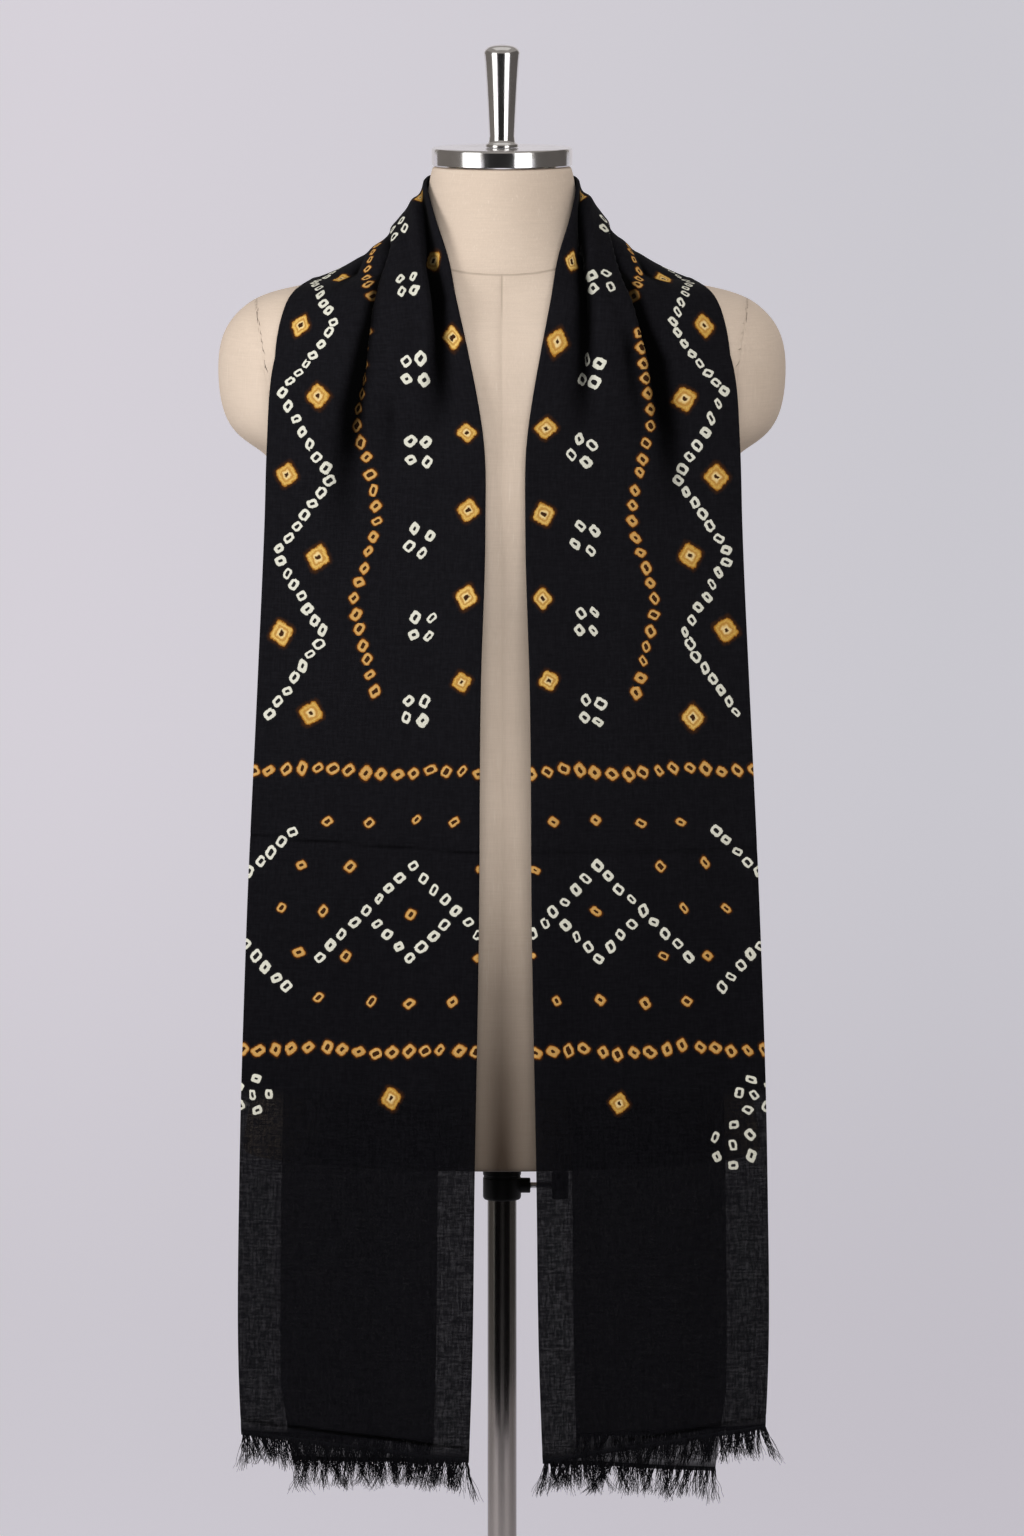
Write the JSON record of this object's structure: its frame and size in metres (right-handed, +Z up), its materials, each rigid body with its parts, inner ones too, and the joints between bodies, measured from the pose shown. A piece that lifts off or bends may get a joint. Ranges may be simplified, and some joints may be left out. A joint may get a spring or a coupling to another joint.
{
  "type": "stole on dress form",
  "caption": "Black folded stole with tie-dyed dots and fringed ends, hung round the neck of a linen dress form on a round stand.",
  "frame": {"origin": "on the floor, on the axis of the stand's pole", "axes": "+Z up, -Y is the front of the form, +X is the right side as somebody sees it who looks at the front"},
  "size_m": [0.408, 0.34, 1.576],
  "materials": {
    "black_cotton": "sheer plain weave, matt, tie-dyed dots",
    "fringe_yarn": "loose yarn ends",
    "linen": "close linen cover over padding",
    "chrome": "polished",
    "black_plastic": "satin moulding",
    "steel_tube": "satin",
    "steel_base": "satin"
  },
  "bodies": {
    "stand": {"base": "steel_base", "pole": "steel_tube"},
    "form": {"form_torso": "linen", "neck_cap": "chrome", "finial": "chrome", "clamp_collar": "black_plastic", "stole_left_fall": "black_cotton", "stole_neck": "black_cotton", "stole_right_fall": "black_cotton", "fringe_left": "fringe_yarn", "fringe_right": "fringe_yarn"},
    "screw": {"clamp_knob": "black_plastic"}
  },
  "joints": [
    {"name": "form_height", "type": "slide", "parent": "stand", "child": "form", "axis": [0, 0, 1], "range_m": [0, 0.15]},
    {"name": "screw_turn", "type": "hinge", "parent": "form", "child": "screw", "pos_m": [0.04, 0, 0.752], "axis": [1, 0, 0], "continuous": true}
  ]
}
